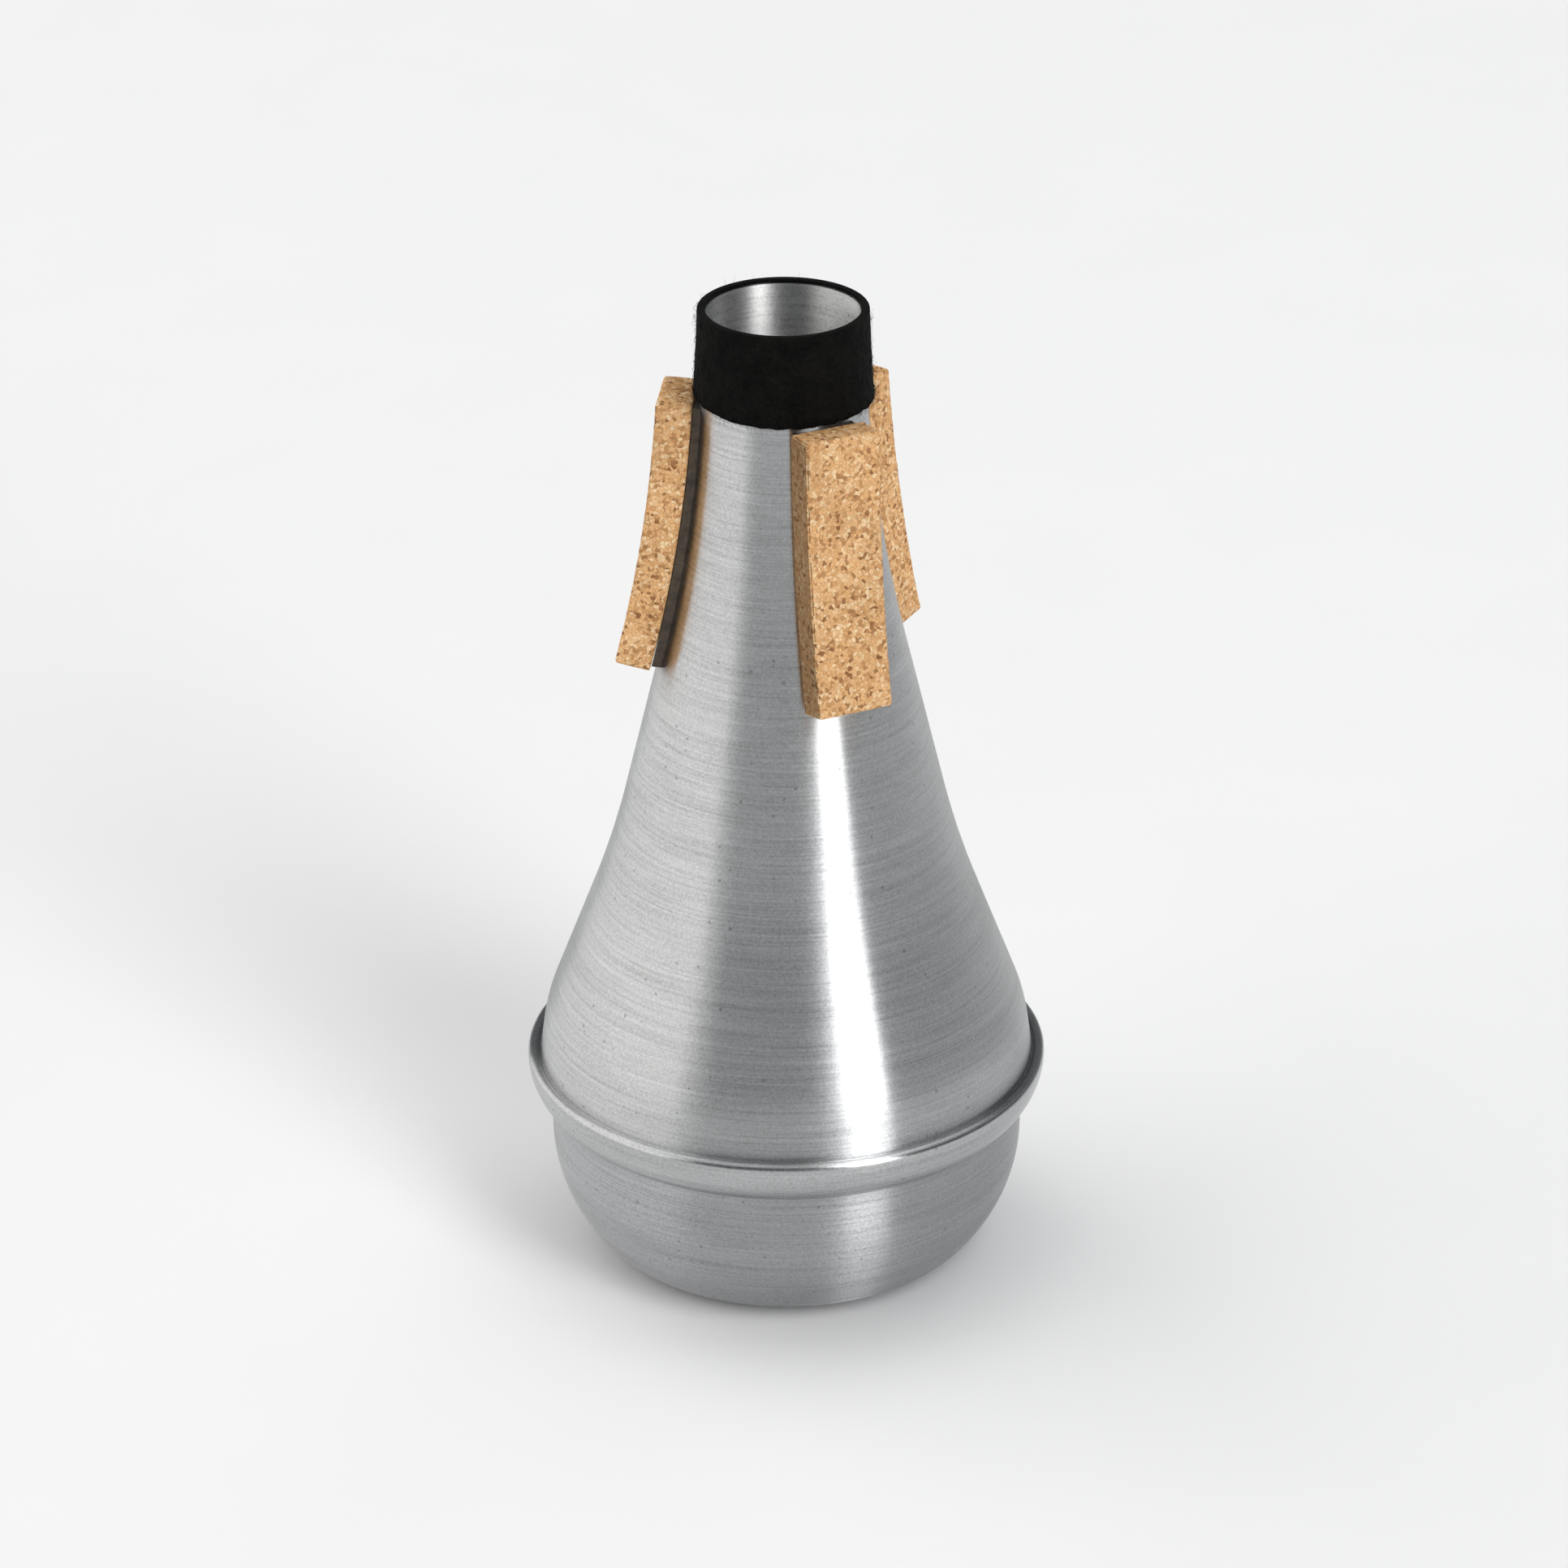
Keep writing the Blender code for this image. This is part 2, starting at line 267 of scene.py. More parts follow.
def spun_aluminium(name, colour, line_pitch, worn, dullness=0.17, streaking=1.0):
    """Polished aluminium with tool lines round the axis, fine grain and a few small pits."""
    n = Nodes(name)
    place = n.place()
    x, y, z = n.add("ShaderNodeSeparateXYZ", Vector=place).outputs
    radius = n.maths("SQRT", n.maths("ADD", n.maths("MULTIPLY", x, x),
                                     n.maths("MULTIPLY", y, y)))
    off_axis = n.maths("MAXIMUM", radius, AXIS_CLEARANCE)

    def tool_lines(pitch, drift, detail):
        """Close together up the profile, and drifting slowly as they go round."""
        along = n.add("ShaderNodeCombineXYZ",
                      X=n.maths("MULTIPLY", n.maths("DIVIDE", x, off_axis), drift),
                      Y=n.maths("MULTIPLY", n.maths("DIVIDE", y, off_axis), drift),
                      Z=n.maths("DIVIDE", z, pitch)).outputs[0]
        return n.add("ShaderNodeTexNoise", {"noise_dimensions": "4D"}, Vector=along,
                     W=n.maths("DIVIDE", radius, pitch), Scale=1.0, Detail=detail,
                     Roughness=0.6).outputs[0]

    lines = tool_lines(line_pitch, drift=1.2, detail=4.0)
    bands = tool_lines(line_pitch * BAND_PITCH, drift=2.5, detail=3.0)
    grain = n.mottle(place, Scale=2600.0, Detail=3.0, Roughness=0.7)
    cloud = n.mottle(place, Scale=45.0, Detail=4.0)
    spots = n.add("ShaderNodeTexVoronoi", Vector=place, Scale=620.0)
    pit = n.maths("MULTIPLY",
                  n.maths("LESS_THAN", spots.outputs["Distance"], PIT_REACH),
                  n.maths("GREATER_THAN", n.red(spots.outputs["Color"]), PITLESS))

    tone = n.ramp(n.total((lines, 0.42), (bands, 0.13), (grain, 0.45)),
                  ((0.35, tinted(colour, DULL_TONE)), (0.50, colour),
                   (0.65, tinted(colour, BRIGHT_TONE))))
    tone = n.mix(n.maths("MULTIPLY", pit, 0.6), tone, (*tinted(colour, PIT_TONE), 1.0))
    rough = n.total((cloud, worn), (grain, 0.10), (lines, 0.10))
    round_it = n.add("ShaderNodeTangent", {"direction_type": "RADIAL", "axis": "Z"})
    n.shade({"Base Color": tone,
             "Roughness": n.maths("ADD", rough, dullness),
             "Metallic": 1.0,
             "Anisotropic": streaking,
             "Anisotropic Rotation": ACROSS_THE_LINES,
             "Tangent": round_it.outputs[0]})
    height = n.total((lines, 0.6), (bands, 1.6), (grain, 0.15))
    height = n.maths("SUBTRACT", height, n.maths("MULTIPLY", pit, 0.8))
    n.bump(height, depth=TOOL_MARK_DEPTH, strength=1.0)
    return n.material


# The outline is worked out from the cap up: the bead closes under the cap's rim, folds at its
# widest point, and goes in along the shelf to the groove where the cone starts
side_height = CAP_KNUCKLE + (CAP_SIDE - CAP_KNUCKLE) * math.sin(CAP_SWEEP)
lip_turn = math.acos((CAP_RADIUS + FIT - BEAD_RADIUS + BEAD_BELLY) / (BEAD_BELLY - SHEET))
widest = side_height + CAP_WALL + BEAD_BELLY * math.sin(lip_turn)
fold = (BEAD_RADIUS - FOLD_RADIUS, widest)
groove_turn = SHELF_RISE + math.pi / 2 - BAND[1]
shelf_end = (fold[0] - FOLD_RADIUS * math.sin(SHELF_RISE),
             fold[1] + FOLD_RADIUS * math.cos(SHELF_RISE))
shelf_run = SHELF + GROOVE_RADIUS * math.tan(groove_turn / 2)
groove = (shelf_end[0] - shelf_run * math.cos(SHELF_RISE),
          shelf_end[1] - shelf_run * math.sin(SHELF_RISE))


def up_from(corner, run):
    """The upper end of a straight run of the cone."""
    rise, lean = run
    return corner[0] - rise * math.tan(lean), corner[1] + rise


shoulder = up_from(groove, BAND)
waist = up_from(shoulder, LOWER_CONE)
throat = up_from(waist, UPPER_CONE)
rim = up_from(throat, NECK)
cone_line = spun_line([(*rim, 0), (*throat, THROAT_BLEND), (*waist, WAIST_BLEND),
                       (*shoulder, SHOULDER_BLEND), (*groove, GROOVE_RADIUS),
                       (*shelf_end, 0)])[:-1]
cone_line += bend(fold, FOLD_RADIUS, math.pi / 2 + SHELF_RISE, 0)
cone_line += bend((BEAD_RADIUS - BEAD_BELLY, widest), BEAD_BELLY, 0, -lip_turn)[1:]

cone_profile = sheet_wall(cone_line)
cone = spin("spun_cone", cone_profile)
for metal in (
        spun_aluminium("spun_aluminium_cone", (0.54, 0.545, 0.55),
                       line_pitch=0.34 * MM, worn=0.12),
        # The inside is much brighter than the outside: painted light in the neck, where little light
        # gets in.
        spun_aluminium("spun_aluminium_inside", (0.90, 0.90, 0.89),
                       line_pitch=0.45 * MM, worn=0.20, dullness=0.40),
        spun_aluminium("rolled_bead", (0.46, 0.465, 0.47),
                       line_pitch=0.20 * MM, worn=0.10, dullness=0.09, streaking=0.85)):
    cone.data.materials.append(metal)
INSIDE, BEAD = 1, 2             # which of these metals a face has; the outside has the first
BEAD_FINISH = 0.4 * MM          # the bead's finish ends this far above the groove
for i, face in enumerate(cone.data.polygons):
    along_profile = i % len(cone_profile)
    if along_profile < len(cone_line) - 1:
        face.material_index = INSIDE
    elif cone_profile[along_profile][1] < groove[1] + BEAD_FINISH:
        face.material_index = BEAD
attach(cone, "root")
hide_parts("cone_shell")


# --- Domed end cap ---
# A shallow cup spun from the same sheet. Its straight wall goes up into the bead of the cone,
# which is rolled in tight under its flared rim, and its dome ends in a small flat to stand on.

CAP_RIM_BEND = 1.0 * MM
FLAT_RINGS = 12

groove_height = groove[1] + GROOVE_RADIUS / math.cos(groove_turn / 2) * math.sin(
    (math.pi / 2 + BAND[1] + SHELF_RISE) / 2)
rim_underside = groove_height - GROOVE_RADIUS - SHEET - FIT - SHEET
side_centre = (CAP_RADIUS - CAP_SIDE, side_height)
knuckle_centre = (side_centre[0] + (CAP_SIDE - CAP_KNUCKLE) * math.cos(CAP_SWEEP), CAP_KNUCKLE)
cap_line = spun_line([(BEAD_RADIUS - SHEET - 2 * FIT, rim_underside, 0),
                      (CAP_RADIUS, rim_underside, CAP_RIM_BEND),
                      (CAP_RADIUS, side_height, 0)])[:-1]
cap_line += bend(side_centre, CAP_SIDE, 0, -CAP_SWEEP)
cap_line += bend(knuckle_centre, CAP_KNUCKLE, -CAP_SWEEP, -math.pi / 2)[1:]
for i in range(1, FLAT_RINGS + 1):
    cap_line.append((knuckle_centre[0] * (1 - i / FLAT_RINGS), 0.0, -math.pi / 2))

cap = spin("domed_end_cap", sheet_wall(cap_line), closed=False)
# The cap's metal is darker than the cone's, though it is the same sheet: painted shade on the dome.
cap.data.materials.append(spun_aluminium("spun_aluminium_cap", (0.42, 0.425, 0.435),
                                         line_pitch=0.30 * MM, worn=0.12))
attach(cap, "root")
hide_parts("end_cap")


# --- Cork strips ---
# Three strips cut from flat sheet of pressed cork granules, bent along the cone and glued on by
# hand, a little out of line. They wedge the mute in the bell, and their edges have crumbled.

BOND = 0.2 * MM                 # gap on each side of a glue layer
CEMENT_THICKNESS = 0.25 * MM
COLLAR_LENGTH = 14.0 * MM       # the strips start just below the felt
COLLAR_ABOVE_RIM = 0.65 * MM
STRIP_WIDTH = 12.0 * MM
STRIP_THICKNESS = 5.4 * MM
STRIP_HEIGHT = 42.0 * MM
STRIPS = ((26.3, 1.5), (140.5, 1.9), (-95.4, -2.7))    # turn round the cone and lean, degrees

GRID = 0.3 * MM
ROUND_EDGE = 0.45 * MM
CRUMBLE = 0.10 * MM
GRANULE = 1.1 * MM              # size of the lumps in the crumbled face
CRUMB = 0.45 * MM               # and of the finer ones
BITE = 2.3 * MM                 # size of the pieces missing from an edge
SMOOTH_BACK = 0.2 * MM          # the face against the cement isn't crumbled

strip_top = rim[1] + COLLAR_ABOVE_RIM - COLLAR_LENGTH - FIT
strip_foot = strip_top - STRIP_HEIGHT
strip_back = BOND + CEMENT_THICKNESS + BOND


def cone_at(height):
    """Outside radius of the cone and the lean of its surface at a height."""
    for high, low in zip(cone_line, cone_line[1:]):
        if low[1] <= height <= high[1]:
            share = (high[1] - height) / (high[1] - low[1])
            return high[0] + share * (low[0] - high[0]), high[2] + share * (low[2] - high[2])
    raise ValueError("height off the cone")


def round_the_cone(turn):
    """Carries a strip from the front to its own side of the cone."""
    return Matrix.Rotation(math.radians(turn), 3, "Z")


def cork_strip(name, turn, lean, seed):
    """One strip as a fine grid on all six faces, with rounded, crumbled edges."""
    half = (STRIP_WIDTH / 2, STRIP_THICKNESS / 2, STRIP_HEIGHT / 2)
    shape = bmesh.new()
    bmesh.ops.create_cube(shape, size=1.0)
    for axis in range(3):
        count = max(2, round(2 * half[axis] / GRID))
        for i in range(1, count):
            plane = Vector((0, 0, 0))
            plane[axis] = -0.5 + i / count
            normal = Vector((0, 0, 0))
            normal[axis] = 1
            bmesh.ops.bisect_plane(shape, geom=shape.verts[:] + shape.edges[:] + shape.faces[:],
                                   plane_co=plane, plane_no=normal)
    placing = round_the_cone(turn)
    drift = Vector((seed * 3.1, seed * 1.7, 0))    # so that no two strips crumble alike
    for v in shape.verts:
        p = Vector([2 * v.co[i] * half[i] for i in range(3)])
        # Round the edges: pull the point in to a box with rounded corners
        core = Vector([max(-half[i] + ROUND_EDGE, min(half[i] - ROUND_EDGE, p[i]))
                       for i in range(3)])
        out = p - core
        if out.length > 1e-9:
            p = core + out.normalized() * ROUND_EDGE
        # Crumble it: a little on the faces, more along the edges, with bites out of them
        near_edge = 0.0
        if out.length > ROUND_EDGE:
            near_edge = min(1.0, (out.length / ROUND_EDGE - 1.0) * 2.6)
        grainy = noise.noise(p / GRANULE + drift) + 0.5 * noise.noise(p / CRUMB + drift)
        bite = max(0.0, noise.noise(p / BITE - drift) - 0.12) * 4.0 * near_edge
        push = CRUMBLE * (0.35 + near_edge) * (grainy - 0.6) - CRUMBLE * bite
        if p.y < half[1] - SMOOTH_BACK:
            facing_out = out.normalized() if out.length > 1e-9 else Vector((0, -1, 0))
            p += facing_out * min(0.0, push)
        # Bend it along the cone, and lean it
        height = strip_foot + half[2] + p.z
        height = min(strip_top, max(strip_foot, height))
        radius, facing = cone_at(height)
        stand = strip_back + half[1] - p.y
        aside = p.x + math.tan(math.radians(lean)) * p.z
        v.co = placing @ Vector((aside, -radius - stand * math.cos(facing),
                                 height + stand * math.sin(facing)))
    return made(name, shape)


GRANULES_PER_METRE = 1830.0
GRANULE_BEND = 0.8 * MM         # how far the noise bends the granules' outlines
SEAM_WIDTH = 0.072
CORK_TONES = ((0.0, (0.30, 0.13, 0.05)), (0.10, (0.56, 0.29, 0.12)),
              (0.35, (0.80, 0.45, 0.20)), (0.75, (0.88, 0.54, 0.27)),
              (1.0, (0.97, 0.72, 0.44)))
SEAM_COLOUR = (0.30, 0.15, 0.06, 1.0)
CORK_RELIEF = 0.09 * MM


def pressed_cork(name, tone_share):
    """Tan granules, some dark, pressed together with dark lines and small holes between them."""
    n = Nodes(name)
    place = n.place()
    wobble = n.add("ShaderNodeTexNoise", Vector=place, Scale=900.0, Detail=2.0)
    bent = n.add("ShaderNodeVectorMath", {"operation": "SCALE"},
                 Vector=wobble.outputs["Color"], Scale=GRANULE_BEND).outputs[0]
    where = n.add("ShaderNodeVectorMath", {"operation": "ADD"}, i0=place, i1=bent).outputs[0]
    granules = n.add("ShaderNodeTexVoronoi", Vector=where, Scale=GRANULES_PER_METRE)
    edges = n.add("ShaderNodeTexVoronoi", {"feature": "DISTANCE_TO_EDGE"}, Vector=where,
                  Scale=GRANULES_PER_METRE).outputs["Distance"]
    own = n.red(granules.outputs["Color"])
    fibres = n.mottle(place, Scale=3500.0, Detail=4.0)
    cloud = n.mottle(place, Scale=120.0, Detail=3.0)

    tone = n.ramp(own, [(stop, tinted(colour, tone_share)) for stop, colour in CORK_TONES])
    veil = n.ramp(n.total((fibres, 0.6), (cloud, 0.4)),
                  ((0.30, (0.72, 0.70, 0.66)), (0.60, (1.05, 1.04, 1.02))))
    tone = n.mix(0.9, tone, veil, blend="MULTIPLY")
    seam = n.maths("LESS_THAN", n.maths("ADD", edges, n.maths("MULTIPLY", fibres, 0.06)),
                   SEAM_WIDTH)
    tone = n.mix(n.maths("MULTIPLY", seam, 0.35), tone, SEAM_COLOUR)
    n.shade({"Base Color": tone, "Roughness": 0.88, "Specular IOR Level": 0.25})
    crown = n.maths("MINIMUM", n.maths("MULTIPLY", edges, 5.0), 1.0)
    n.bump(n.total((crown, 1.0), (fibres, 0.5), (own, 0.3)), depth=CORK_RELIEF, strength=0.8)
    return n.material


# The left side of the front strip looks darker than its face, most likely from shade, so it is given
# a darker copy of the cork there. It is most likely shade, so the darker cork there is a guess. The
# darker cork is painted shade.
SHADE_PAINTED_STRIP = 1
SHADE_PAINTED_FROM = -0.75          # a face that looks at least this much to the left has it
cork = pressed_cork("pressed_cork", 1.0)
shaded_side_cork = pressed_cork("shaded_side_cork", 0.42)
for number, (turn, lean) in enumerate(STRIPS, start=1):
    strip = cork_strip(f"cork_{number}", turn, lean, number)
    strip.data.materials.append(cork)
    strip.data.materials.append(shaded_side_cork)
    if number == SHADE_PAINTED_STRIP:
        across = round_the_cone(turn) @ Vector((1, 0, 0))
        for face in strip.data.polygons:
            face.material_index = 1 if face.normal.dot(across) < SHADE_PAINTED_FROM else 0
    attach(strip, "root")
    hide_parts(f"cork_strip_{number}")


# --- Cement ---
# Contact cement brushed between each strip and the cone. It fills the wedge that the round metal
# leaves behind the flat cork. Its dark brown colour is painted shade where its edges show.

CEMENT_WIDTH = 10.0 * MM
CEMENT_MARGIN = 0.5 * MM
CEMENT_STATIONS = 60
CEMENT_ACROSS = 16
CEMENT_RAGGED = 0.18 * MM       # how far its sides stray
CEMENT_WAVE = 2.0 * MM          # and over what length
CEMENT_OFF_METAL = 0.03 * MM
CEMENT_SWELL = 0.1 * MM         # how much thicker than the plain layer it dries
CEMENT_RELIEF = 0.08 * MM


def cement_painted_shade():
    """Dark brown as painted shade, in strings, and dull to half glossy."""
    n = Nodes("cement_painted_shade")
    strings = n.mottle(n.place(), Scale=700.0, Detail=4.0)
    n.shade({"Base Color": n.ramp(strings, ((0.30, (0.035, 0.022, 0.012)),
                                            (0.70, (0.11, 0.08, 0.05)))),
             "Roughness": n.maths("ADD", n.maths("MULTIPLY", strings, 0.3), 0.35)})
    n.bump(strings, depth=CEMENT_RELIEF, strength=0.6)
    return n.material


def cement_layer(name, turn, lean, seed):
    """Round against the cone and flat against the cork, with ragged sides."""
    placing = round_the_cone(turn)
    length = STRIP_HEIGHT - 2 * CEMENT_MARGIN
    stand = BOND + CEMENT_THICKNESS + CEMENT_SWELL
    shape = bmesh.new()
    rings = []
    for i in range(CEMENT_STATIONS + 1):
        height = strip_foot + CEMENT_MARGIN + length * i / CEMENT_STATIONS
        radius, facing = cone_at(height)
        shift = math.tan(math.radians(lean)) * (height - (strip_foot + strip_top) / 2)
        left, right = [CEMENT_RAGGED * noise.noise(Vector((seed, side, height / CEMENT_WAVE)))
                       for side in (5, 9)]
        low, high = -CEMENT_WIDTH / 2 + left, CEMENT_WIDTH / 2 + right
        places = [shift + low + (high - low) * k / CEMENT_ACROSS
                  for k in range(CEMENT_ACROSS + 1)]
        ring = [Vector((aside, -math.sqrt((radius + CEMENT_OFF_METAL) ** 2 - aside ** 2), height))
                for aside in places]
        ring += [Vector((aside, -radius - stand * math.cos(facing),
                         height + stand * math.sin(facing))) for aside in reversed(places)]
        rings.append([shape.verts.new(placing @ p) for p in ring])
    for low, high in zip(rings, rings[1:]):
        for k in range(len(low)):
            j = (k + 1) % len(low)
            shape.faces.new((low[k], low[j], high[j], high[k]))
    shape.faces.new(rings[0][::-1])
    shape.faces.new(rings[-1])
    return made(name, shape, smooth=False)


cement = cement_painted_shade()
for number, (turn, lean) in enumerate(STRIPS, start=1):
    layer = cement_layer(f"cement_layer_{number}", turn, lean, number)
    layer.data.materials.append(cement)
    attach(layer, "root")
    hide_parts(f"cement_{number}")


# --- Felt collar ---
# A band of thin black felt wrapped round the neck and glued, which keeps the metal rim from
# scratching the bell. It laps a little over the rim, and its lower edge was cut by hand.

COLLAR_TOP = 0.4 * MM           # thickness at the rim, where it is pressed thin
COLLAR_FOOT = 0.8 * MM          # and at the lower edge
COLLAR_LAP = 0.55 * MM
COLLAR_AROUND = 360
BACK_STEPS = 12
FACE_STEPS = 40
CORNER_STEPS = 4
FELT_CORNER = 0.25 * MM         # radius of its upper edge, and height of its lower one
FELT_RAGGED = 0.22 * MM         # small unevenness of the cut
FELT_LUMP = 0.09 * MM           # and of the face

collar_top = rim[1] + COLLAR_ABOVE_RIM
collar_foot = collar_top - COLLAR_LENGTH


def outward(turn):
    """Away from the axis, at a turn from the front toward +X."""
    return Vector((math.sin(turn), -math.cos(turn), 0))


def hand_cut(turn):
    """How far the lower edge strays up from a true cut, by the turn from the front."""
    slow = 0.25 * math.sin(turn + 2.6) - 0.30 * math.cos(2 * turn + 0.5)
    return (0.12 + 0.55 * max(0.0, -math.sin(turn)) ** 2 + slow * 0.5) * MM


def felt_thickness(share):
    """Thickness of the felt at a share of the way down its face."""
    return COLLAR_TOP + share * (COLLAR_FOOT - COLLAR_TOP)


def felt_section(way_out, foot):
    """Outline (radius, height) of the felt: up its back, over the rim and down its face."""
    section = []
    for k in range(BACK_STEPS):
        height = foot + k * (rim[1] - foot) / BACK_STEPS
        section.append((cone_at(height)[0] + BOND, height))
    section += [(rim[0] + BOND, rim[1] + BOND),
                (rim[0] - COLLAR_LAP, rim[1] + BOND),
                (rim[0] - COLLAR_LAP, collar_top - 0.05 * MM),
                (rim[0] - COLLAR_LAP + 0.15 * MM, collar_top)]
    edge = rim[0] + BOND + COLLAR_TOP
    for k in range(CORNER_STEPS + 1):
        bow = math.pi / 2 * k / CORNER_STEPS
        section.append((edge - FELT_CORNER * (1 - math.sin(bow)),
                        collar_top - FELT_CORNER * (1 - math.cos(bow))))
    for k in range(1, FACE_STEPS):
        share = k / FACE_STEPS
        height = collar_top - FELT_CORNER + share * (foot + FELT_CORNER - collar_top)
        base = cone_at(min(rim[1], max(foot, height)))[0] + BOND + felt_thickness(share)
        lump = noise.noise(Vector((14 * way_out.x, 14 * way_out.y, height / (1.6 * MM))))
        lump += 0.6 * noise.noise(Vector((40 * way_out.x, 40 * way_out.y,
                                          height / (0.6 * MM))))
        section.append((base + FELT_LUMP * (lump - 0.3), height))
    wide = cone_at(foot)[0] + BOND + COLLAR_FOOT
    section += [(wide - 0.06 * MM, foot + 0.10 * MM), (wide - 0.25 * MM, foot)]
    return section


def felt_band():
    """The band as one closed section carried round the neck."""
    shape = bmesh.new()
    rings = []
    for s in range(COLLAR_AROUND):
        turn = 2 * math.pi * s / COLLAR_AROUND
        way_out = outward(turn)
        uneven = noise.noise(Vector((9 * way_out.x, 9 * way_out.y, 0)))
        foot = collar_foot + max(0.0, hand_cut(turn) + FELT_RAGGED * uneven)
        rings.append([shape.verts.new(way_out * r + Vector((0, 0, z)))
                      for r, z in felt_section(way_out, foot)])
    for s in range(COLLAR_AROUND):
        here, there = rings[s], rings[(s + 1) % COLLAR_AROUND]
        for k in range(len(here)):
            j = (k + 1) % len(here)
            shape.faces.new((here[k], there[k], there[j], here[j]))
    return made("felt_band", shape)


FIBRE_COUNT = 2600
FIBRE_SEED = 21
AT_THE_CUT = 0.35               # share of the fibres that start along the lower edge
FIBRE_ROOT = 0.08 * MM          # how deep in the felt a fibre starts
FIBRE_STEPS = 4
FIBRE_SIDES = (0.0, 2.1, 4.2)   # a fibre has three sides, at these turns


def stray_fibres(count):
    """Short loose fibres on the felt's face and along its cut edge."""
    random.seed(FIBRE_SEED)
    up = Vector((0, 0, 1))
    shape = bmesh.new()
    for _ in range(count):
        turn = random.uniform(0, 2 * math.pi)
        low = random.random() < AT_THE_CUT
        if low:
            above = random.uniform(0.0, 0.5) * MM
        else:
            above = random.uniform(0.4, COLLAR_LENGTH / MM - 0.6) * MM
        height = collar_foot + hand_cut(turn) + above
        thick = felt_thickness((collar_top - height) / COLLAR_LENGTH)
        radius = cone_at(min(rim[1], height))[0] + BOND + thick - FIBRE_ROOT
        out = outward(turn)
        along = Vector((math.cos(turn), math.sin(turn), 0))
        lie = random.uniform(0, 2 * math.pi)
        way = along * math.cos(lie) + up * math.sin(lie) * (0.8 if low else 1.0)
        length = random.uniform(0.5, 1.6) * MM
        lift = random.uniform(0.10, 0.42)
        width = random.uniform(0.016, 0.028) * MM
        side = up.cross(way).normalized() if abs(way.z) < 0.99 else along
        root = out * radius + up * height
        previous = None
        for k in range(FIBRE_STEPS + 1):
            t = k / FIBRE_STEPS
            centre = root + way * length * t + out * (length * lift * math.sin(t * 2.6))
            centre += up * (0.12 * length * math.sin(5 * t + lie))
            slim = width * (1 - 0.7 * t)
            ring = [shape.verts.new(centre + slim * (out * math.cos(a) + side * math.sin(a)))
                    for a in FIBRE_SIDES]
            if previous:
                for i in range(len(ring)):
                    j = (i + 1) % len(ring)
                    shape.faces.new((previous[i], previous[j], ring[j], ring[i]))
            else:
                shape.faces.new(ring[::-1])
            previous = ring
        shape.faces.new(previous)
    return made("felt_fibres", shape, smooth=False)


def black_felt():
    """Matted black wool that hardly shines, with a little lint."""
    n = Nodes("black_felt")
    place = n.place()
    mat = n.mottle(place, Scale=2200.0, Detail=5.0, Roughness=0.7, Distortion=1.5)
    lint = n.mottle(place, Scale=380.0, Detail=3.0)
    blend = n.total((mat, 0.7), (lint, 0.3))
    n.shade({"Base Color": n.ramp(blend, ((0.35, (0.0015, 0.0015, 0.0015)),
                                          (0.58, (0.008, 0.0075, 0.007)),
                                          (0.72, (0.016, 0.015, 0.014)))),
             "Roughness": 0.97,
             "Specular IOR Level": 0.05,
             "Sheen Weight": 0.015,
             "Sheen Roughness": 0.5})
    n.bump(blend, depth=0.12 * MM, strength=0.9)
    return n.material


felt = black_felt()
band = felt_band()
fibres = stray_fibres(FIBRE_COUNT)
for piece in (band, fibres):
    piece.data.materials.append(felt)
    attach(piece, "root")
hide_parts("felt_collar")


# --- Studio ---
# A pale floor, soft panels on the left and overhead, and one tall narrow light on the right that
# draws the white streak down the cone.

FLOOR_RADIUS = 12.0
FLOOR_DROP = 0.2 * MM           # keeps the floor clear of the cap's flat
WHITE = (1.0, 1.0, 1.0)
WARM_WHITE = (1.0, 0.985, 0.955)
ROOM_COLOUR = (0.92, 0.96, 1.0, 1.0)
ROOM_STRENGTH = 0.15
AIM_HEIGHT = 0.08               # the lights look at the middle of the mute

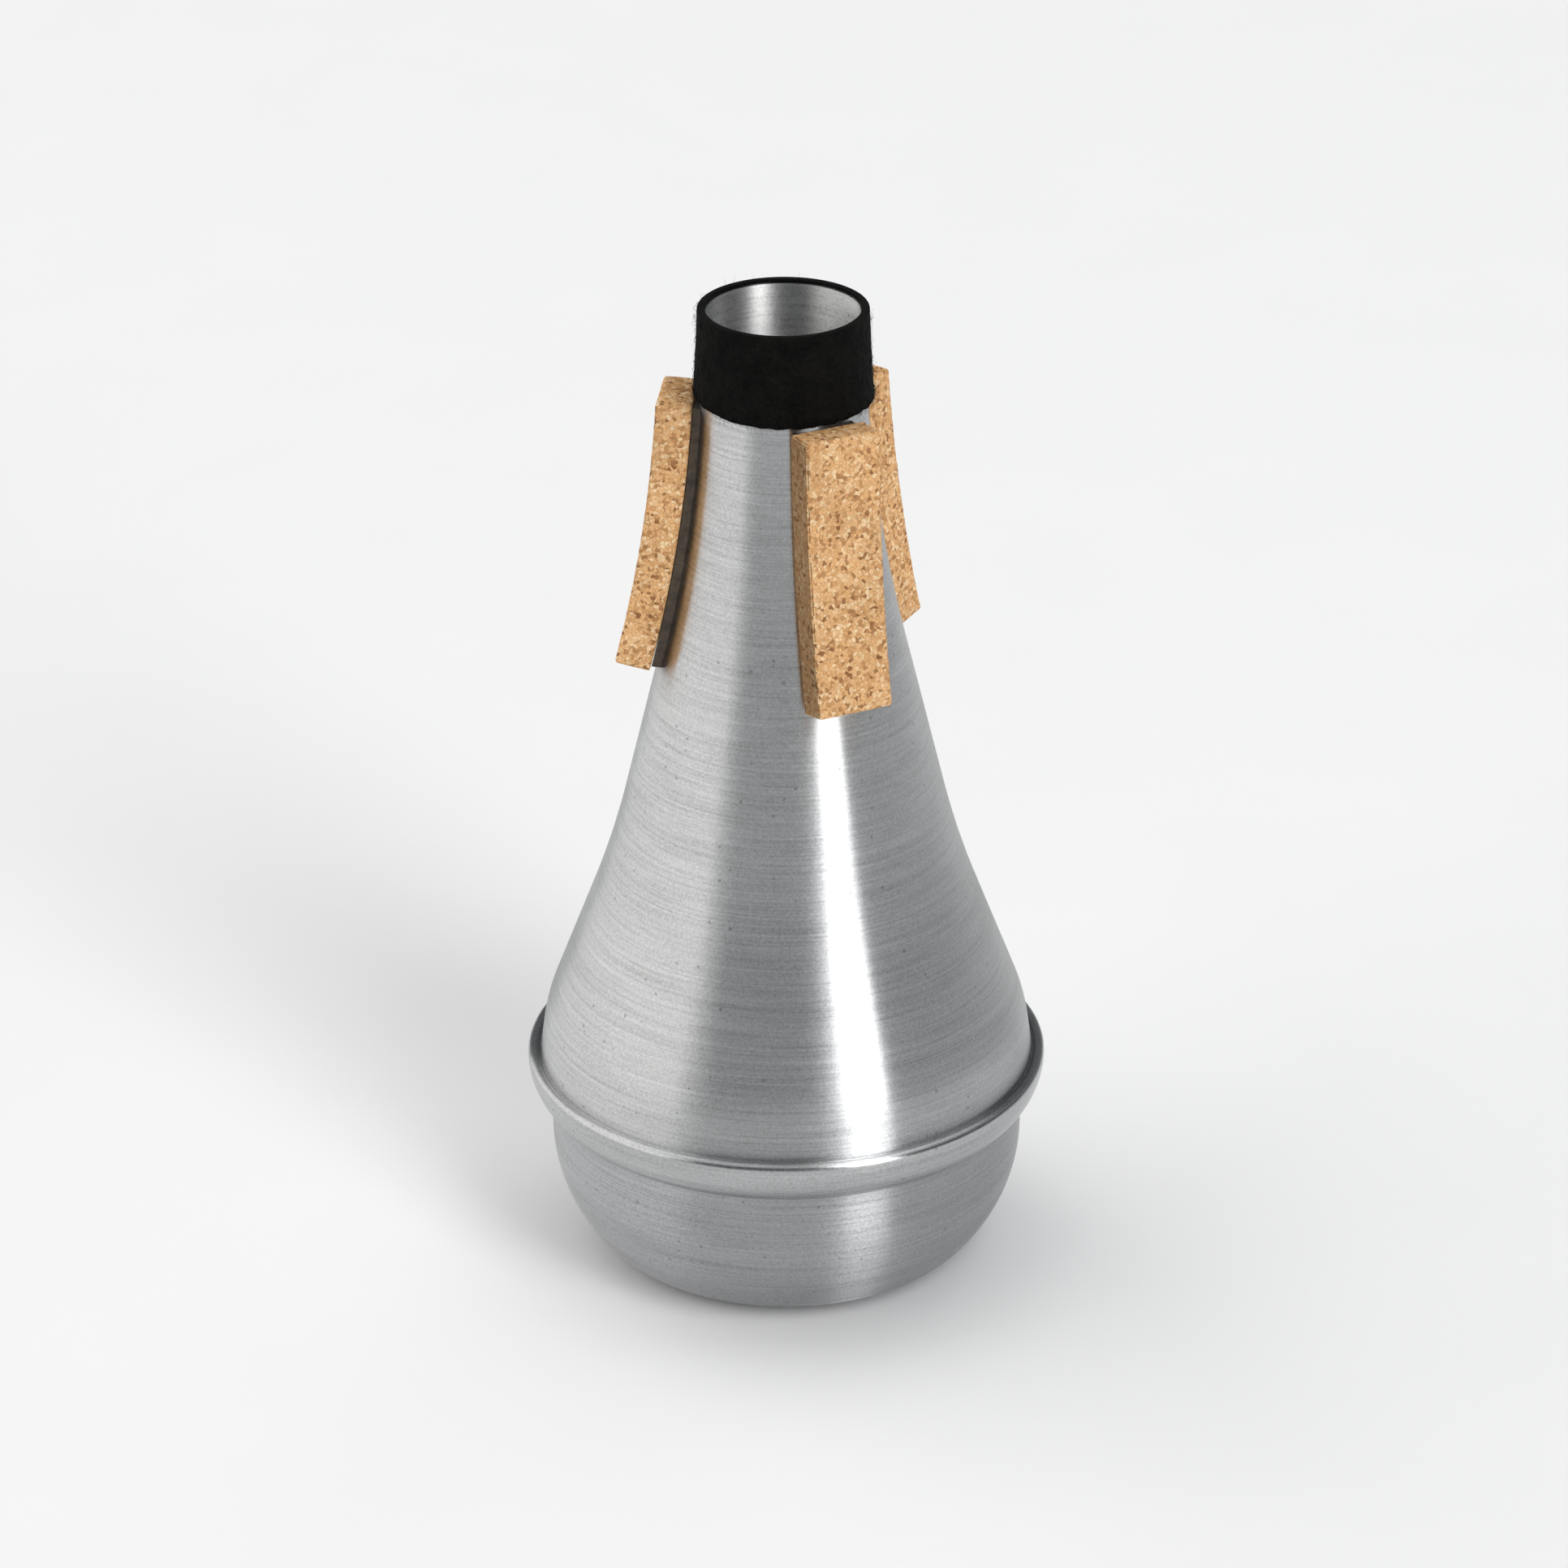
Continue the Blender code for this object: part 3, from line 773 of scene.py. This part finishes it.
floor_shape = bmesh.new()
bmesh.ops.create_circle(floor_shape, cap_ends=True, segments=96, radius=FLOOR_RADIUS)
floor_mesh = bpy.data.meshes.new("studio_floor")
floor_shape.to_mesh(floor_mesh)
floor_shape.free()
floor = bpy.data.objects.new("studio_floor", floor_mesh)
floor.location.z = -FLOOR_DROP
bpy.context.collection.objects.link(floor)
paper = Nodes("white_paper")
speck = paper.mottle(paper.place(), Scale=30.0, Detail=3.0)
paper.shade({"Base Color": paper.ramp(speck, ((0.3, (0.945, 0.945, 0.945)),
                                              (0.7, (0.955, 0.955, 0.955)))),
             "Roughness": 0.9,
             "Specular IOR Level": 0.1})
floor.data.materials.append(paper.material)


def soft_light(name, azimuth, distance, height, size, radiance, colour):
    """A flat panel at an azimuth from the front (toward +X), facing the mute. Metres."""
    lamp = bpy.data.lights.new(name, "AREA")
    lamp.shape = "RECTANGLE"
    lamp.size, lamp.size_y = size
    lamp.energy = radiance * math.pi * size[0] * size[1]
    lamp.color = colour
    panel = bpy.data.objects.new(name, lamp)
    turn = math.radians(azimuth)
    panel.location = (distance * math.sin(turn), -distance * math.cos(turn), height)
    aim = Vector((0, 0, AIM_HEIGHT)) - Vector(panel.location)
    panel.rotation_euler = aim.to_track_quat("-Z", "Y").to_euler()
    bpy.context.collection.objects.link(panel)


soft_light("left_panel", azimuth=-97, distance=3.9, height=1.86, size=(9.6, 4.5),
           radiance=1.22, colour=WARM_WHITE)
soft_light("streak_light", azimuth=37, distance=4.5, height=2.25, size=(1.8, 7.2),
           radiance=5.0, colour=WHITE)
soft_light("overhead", azimuth=180, distance=1.65, height=6.0, size=(7.2, 5.4),
           radiance=1.5, colour=WHITE)

world = bpy.data.worlds.new("studio_room")
world.use_nodes = True
room = world.node_tree.nodes["Background"]
room.inputs["Color"].default_value = ROOM_COLOUR
room.inputs["Strength"].default_value = ROOM_STRENGTH
bpy.context.scene.world = world
bpy.context.scene.view_settings.view_transform = "Standard"

CAMERA_PLACE = (-0.00018, -0.7675, 0.4480)
CAMERA_PITCH = math.radians(64.18)
CAMERA_ROLL = math.radians(-0.24)
LENS = 129.0
SENSOR = 36.0

lens = bpy.data.cameras.new("photo_view")
lens.lens = LENS
lens.sensor_width = SENSOR
camera = bpy.data.objects.new("photo_view", lens)
turned = Matrix.Rotation(CAMERA_PITCH, 4, "X") @ Matrix.Rotation(CAMERA_ROLL, 4, "Z")
camera.matrix_world = Matrix.Translation(CAMERA_PLACE) @ turned
bpy.context.collection.objects.link(camera)
bpy.context.scene.camera = camera
